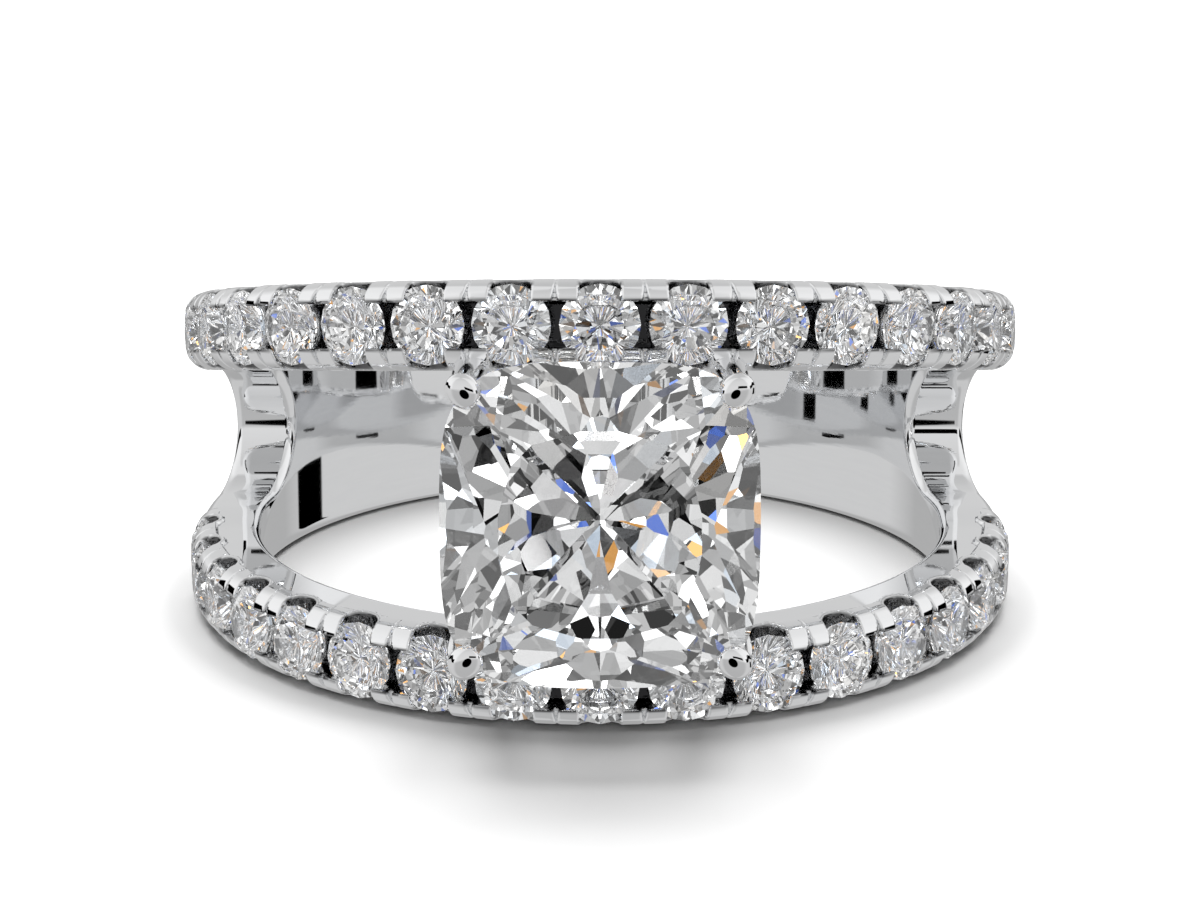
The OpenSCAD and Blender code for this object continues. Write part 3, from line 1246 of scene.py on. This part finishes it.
@dataclass
class Studio:
    """The pale floor, the camera, the lamp and the room whose reflections the ring shows.

    Lengths are metres here, but the camera's sensor is millimetres wide. The walls' brightness is given
    by height, from 0 at the bottom to 1 at the top, and by turn, from 0 in front of the ring to 1
    behind it.
    """

    sizes: RingSizes

    # The camera.
    distance: float = 51.75 * MM
    elevation: float = math.radians(14.307)
    lens_px: float = 2018.4
    image_w: float = 1200
    shift_px: float = -12.5
    sensor_w: float = 36
    nearest: float = 0.001

    # The floor.
    floor_half: float = 6.0
    floor_scale: float = 30
    floor_shades: Shades = ((0.0, 0.86), (1.0, 0.88))
    floor_rough: float = 0.75
    floor_gloss: float = 0.2

    # The lamp, and the room's own light on the floor.
    lamp_power: float = 19
    lamp_size: float = 1.1
    lamp_place: tuple[float, float, float] = (0, 0.42, 0.88)
    room_light: float = 0.55

    # The walls, their dark panels, and a round gap in front by its rise and half angle, in degrees.
    walls_up: Shades = ((0.0, 0.6), (0.5, 0.64), (0.56, 0.97), (0.85, 0.9), (1.0, 0.78))
    walls_round: Shades = ((0.0, 1.0), (0.19, 1.0), (0.31, 1.3), (0.69, 1.3), (0.8, 0.92), (1.0, 0.88))
    panels: tuple[Panel, ...] = (
        Panel(3, 37, 8, 16),
        Panel(60, 125, 2, 15),
        Panel(-125, -58, 2, 15),
        Panel(117, 133, -22, -6),
    )
    round_gap: tuple[float, float] = (-4, 10.5)
    softness: float = 0.01

    # The cells of light and dark that light leaving a stone meets, with their brightness and hue.
    cell_scale: float = 8
    cell_shades: Shades = ((0.0, 0.0), (0.26, 0.08), (0.37, 0.45), (0.58, 0.92), (0.81, 1.9), (0.93, 4.0))
    cell_hues: tuple[tuple[float, Colour], ...] = (
        (0.0, (1.0, 0.5, 0.14)),
        (0.06, (1, 1, 1)),
        (0.86, (0.78, 0.88, 1.0)),
        (0.94, (0.16, 0.3, 1.0)),
    )

    def camera(self) -> None:
        """Sets the camera at the photograph's angle, looking at the middle of the finger hole."""
        data = bpy.data.cameras.new("camera")
        data.sensor_width = self.sensor_w
        data.lens = self.lens_px / self.image_w * data.sensor_width
        data.shift_y = self.shift_px / self.image_w
        data.clip_start = self.nearest
        camera = bpy.data.objects.new("camera", data)
        middle = Vector(self.sizes.laid(np.zeros((1, 3)))[0])
        away = Vector((0, -math.cos(self.elevation), math.sin(self.elevation)))
        camera.location = middle + away * self.distance
        camera.rotation_euler = (math.pi / 2 - self.elevation, 0, 0)
        bpy.context.scene.collection.objects.link(camera)
        bpy.context.scene.camera = camera

    def floor(self) -> None:
        """Lays a plain pale floor under the ring, which reflections and the stones don't see."""
        h = self.floor_half
        mesh = bpy.data.meshes.new("floor")
        mesh.from_pydata([(-h, -h, 0), (h, -h, 0), (h, h, 0), (-h, h, 0)], [], [(0, 1, 2, 3)])
        material, shader, tree = new_material("floor_paint")
        noise = add_node(tree, "ShaderNodeTexNoise", {"Scale": self.floor_scale})
        tint = add_ramp(tree, noise.outputs["Fac"], greys(self.floor_shades))
        tree.links.new(tint, shader.inputs["Base Color"])
        shader.inputs["Roughness"].default_value = self.floor_rough
        shader.inputs["Specular IOR Level"].default_value = self.floor_gloss
        mesh.materials.append(material)
        floor = bpy.data.objects.new("floor", mesh)
        bpy.context.scene.collection.objects.link(floor)
        floor.visible_glossy = False
        floor.visible_transmission = False

    def lamp(self) -> None:
        """Hangs a square soft lamp that looks at the ring, and that reflections don't show."""
        data = bpy.data.lights.new("top_lamp", "AREA")
        data.size = self.lamp_size
        data.energy = self.lamp_power
        lamp = bpy.data.objects.new("top_lamp", data)
        lamp.location = self.lamp_place
        lamp.rotation_euler = (-Vector(self.lamp_place)).to_track_quat("-Z", "Y").to_euler()
        lamp.visible_glossy = False
        bpy.context.scene.collection.objects.link(lamp)

    def between(self, tree: Tree, value: Socket, low: float, high: float) -> Socket:
        """Marks where a value lies between two others.

        Args:
            tree: The room's tree.
            value: The value.
            low: Its lower end.
            high: Its upper end.

        Returns:
            A value of 1 between the ends, which fades to 0 over softness on both sides of them.
        """
        middle, half = (low + high) / 2, (high - low) / 2
        away = add_sum(tree, "ABSOLUTE", add_sum(tree, "SUBTRACT", value, middle))
        ends = {"From Min": half + self.softness, "From Max": half - self.softness}
        fade = add_node(tree, "ShaderNodeMapRange", ends, interpolation_type="SMOOTHSTEP")
        tree.links.new(away, fade.inputs["Value"])
        return fade.outputs["Result"]

    def dark(self, tree: Tree, place: Socket, turn: Socket, rise: Socket) -> Socket:
        """Marks the dark panels and the round gap.

        Args:
            tree: The room's tree.
            place: The direction that is looked in.
            turn: Its angle from the front, in radians.
            rise: Its angle from level, in radians.

        Returns:
            A value of 1 where the room is dark.
        """
        rise_to, half = (math.radians(v) for v in self.round_gap)
        middle = (0, -math.cos(rise_to), math.sin(rise_to))
        towards = add_node(tree, "ShaderNodeVectorMath", {1: middle}, operation="DOT_PRODUCT")
        tree.links.new(place, towards.inputs[0])
        away = add_sum(tree, "ARCCOSINE", towards.outputs["Value"])
        dark = self.between(tree, away, -half, half)
        for panel in self.panels:
            across = self.between(tree, turn, math.radians(panel.left), math.radians(panel.right))
            up = self.between(tree, rise, math.radians(panel.low), math.radians(panel.high))
            dark = add_sum(tree, "MAXIMUM", dark, add_sum(tree, "MULTIPLY", across, up))
        return dark

    def walls(self, tree: Tree, place: Socket, seen: Socket) -> Node:
        """Builds the soft white walls that reflections show.

        Args:
            tree: The room's tree.
            place: The direction that is looked in.
            seen: 1, or 0 for light that would only reach the floor.

        Returns:
            The walls' shader.
        """
        split = add_node(tree, "ShaderNodeSeparateXYZ")
        tree.links.new(place, split.inputs["Vector"])
        x, y, z = split.outputs
        turn = add_sum(tree, "ARCTAN2", x, add_sum(tree, "MULTIPLY", y, -1.0))
        rise = add_sum(tree, "ARCSINE", z)
        height = add_sum(tree, "MULTIPLY_ADD", z, 0.5, 0.5)
        round_to = add_sum(tree, "MULTIPLY", add_sum(tree, "ABSOLUTE", turn), 1 / math.pi)
        lit = add_sum(tree, "SUBTRACT", 1.0, self.dark(tree, place, turn, rise))
        lit = add_sum(tree, "MULTIPLY", add_ramp(tree, height, greys(self.walls_up)), lit)
        lit = add_sum(tree, "MULTIPLY", lit, add_ramp(tree, round_to, greys(self.walls_round)))
        shader = add_node(tree, "ShaderNodeBackground")
        tree.links.new(add_sum(tree, "MULTIPLY", lit, seen), shader.inputs["Strength"])
        return shader

    def sparkle(self, tree: Tree, place: Socket, seen: Socket) -> Node:
        """Builds the cells of light and dark that light leaving a stone meets.

        Args:
            tree: The room's tree.
            place: The direction that is looked in.
            seen: 1, or 0 for light that would only reach the floor.

        Returns:
            The cells' shader.
        """
        link = tree.links.new
        cells = add_node(tree, "ShaderNodeTexVoronoi", {"Scale": self.cell_scale})
        link(place, cells.inputs["Vector"])
        parts = add_node(tree, "ShaderNodeSeparateColor")
        link(cells.outputs["Color"], parts.inputs["Color"])
        shade = add_ramp(tree, parts.outputs["Red"], greys(self.cell_shades), steps=True)
        hue = add_ramp(tree, parts.outputs["Green"], list(self.cell_hues), steps=True)
        tinted = add_node(tree, "ShaderNodeMix", {"Factor": 1}, data_type="RGBA", blend_type="MULTIPLY")
        link(shade, tinted.inputs["A"])
        link(hue, tinted.inputs["B"])
        shader = add_node(tree, "ShaderNodeBackground")
        link(tinted.outputs["Result"], shader.inputs["Color"])
        link(seen, shader.inputs["Strength"])
        return shader

    def room(self) -> None:
        """Builds the room, which gives each kind of ray what it is to meet."""
        world = bpy.data.worlds.new("room")
        bpy.context.scene.world = world
        world.use_nodes = True
        tree = world.node_tree
        tree.nodes.clear()
        place = add_node(tree, "ShaderNodeTexCoord").outputs["Generated"]
        path = add_node(tree, "ShaderNodeLightPath")
        seen = add_sum(tree, "LESS_THAN", path.outputs["Diffuse Depth"], 0.5)
        shaders = {
            "Is Glossy Ray": self.walls(tree, place, seen),
            "Is Transmission Ray": self.sparkle(tree, place, seen),
            "Is Camera Ray": add_node(tree, "ShaderNodeBackground", {"Color": (1, 1, 1, 1)}),
        }
        last = add_node(tree, "ShaderNodeBackground", {"Strength": self.room_light})
        for ray, shader in shaders.items():
            mix = add_node(tree, "ShaderNodeMixShader")
            tree.links.new(path.outputs[ray], mix.inputs["Fac"])
            tree.links.new(last.outputs[0], mix.inputs[1])
            tree.links.new(shader.outputs[0], mix.inputs[2])
            last = mix
        out = add_node(tree, "ShaderNodeOutputWorld")
        tree.links.new(last.outputs[0], out.inputs["Surface"])

    def build(self) -> None:
        """Sets up the whole studio."""
        bpy.context.scene.view_settings.view_transform = "Standard"
        self.camera()
        self.floor()
        self.room()
        self.lamp()


def main() -> None:
    """Lights the studio, builds the ring's metal and main stone, and dresses its small stones."""
    sizes = RingSizes()
    metals = {use: finish.make(use.value) for use, finish in METAL_FINISHES.items()}
    stones = {kind: CutStone().make(kind.value) for kind in Stone}
    Studio(sizes).build()
    pieces = ShankAndArms(sizes).build(metals)
    pieces += HeadClaws(sizes).build(metals)
    pieces.append(MainStone(sizes).build(stones[Stone.MAIN]))
    for piece in pieces:
        log.info("%s: %d faces", piece.name, len(piece.data.polygons))
    for stone in SmallStones().dress(stones[Stone.SMALL]):
        log.info("%s dressed", stone.name)


if __name__ == "__main__":
    logging.basicConfig(level=logging.INFO)
    main()
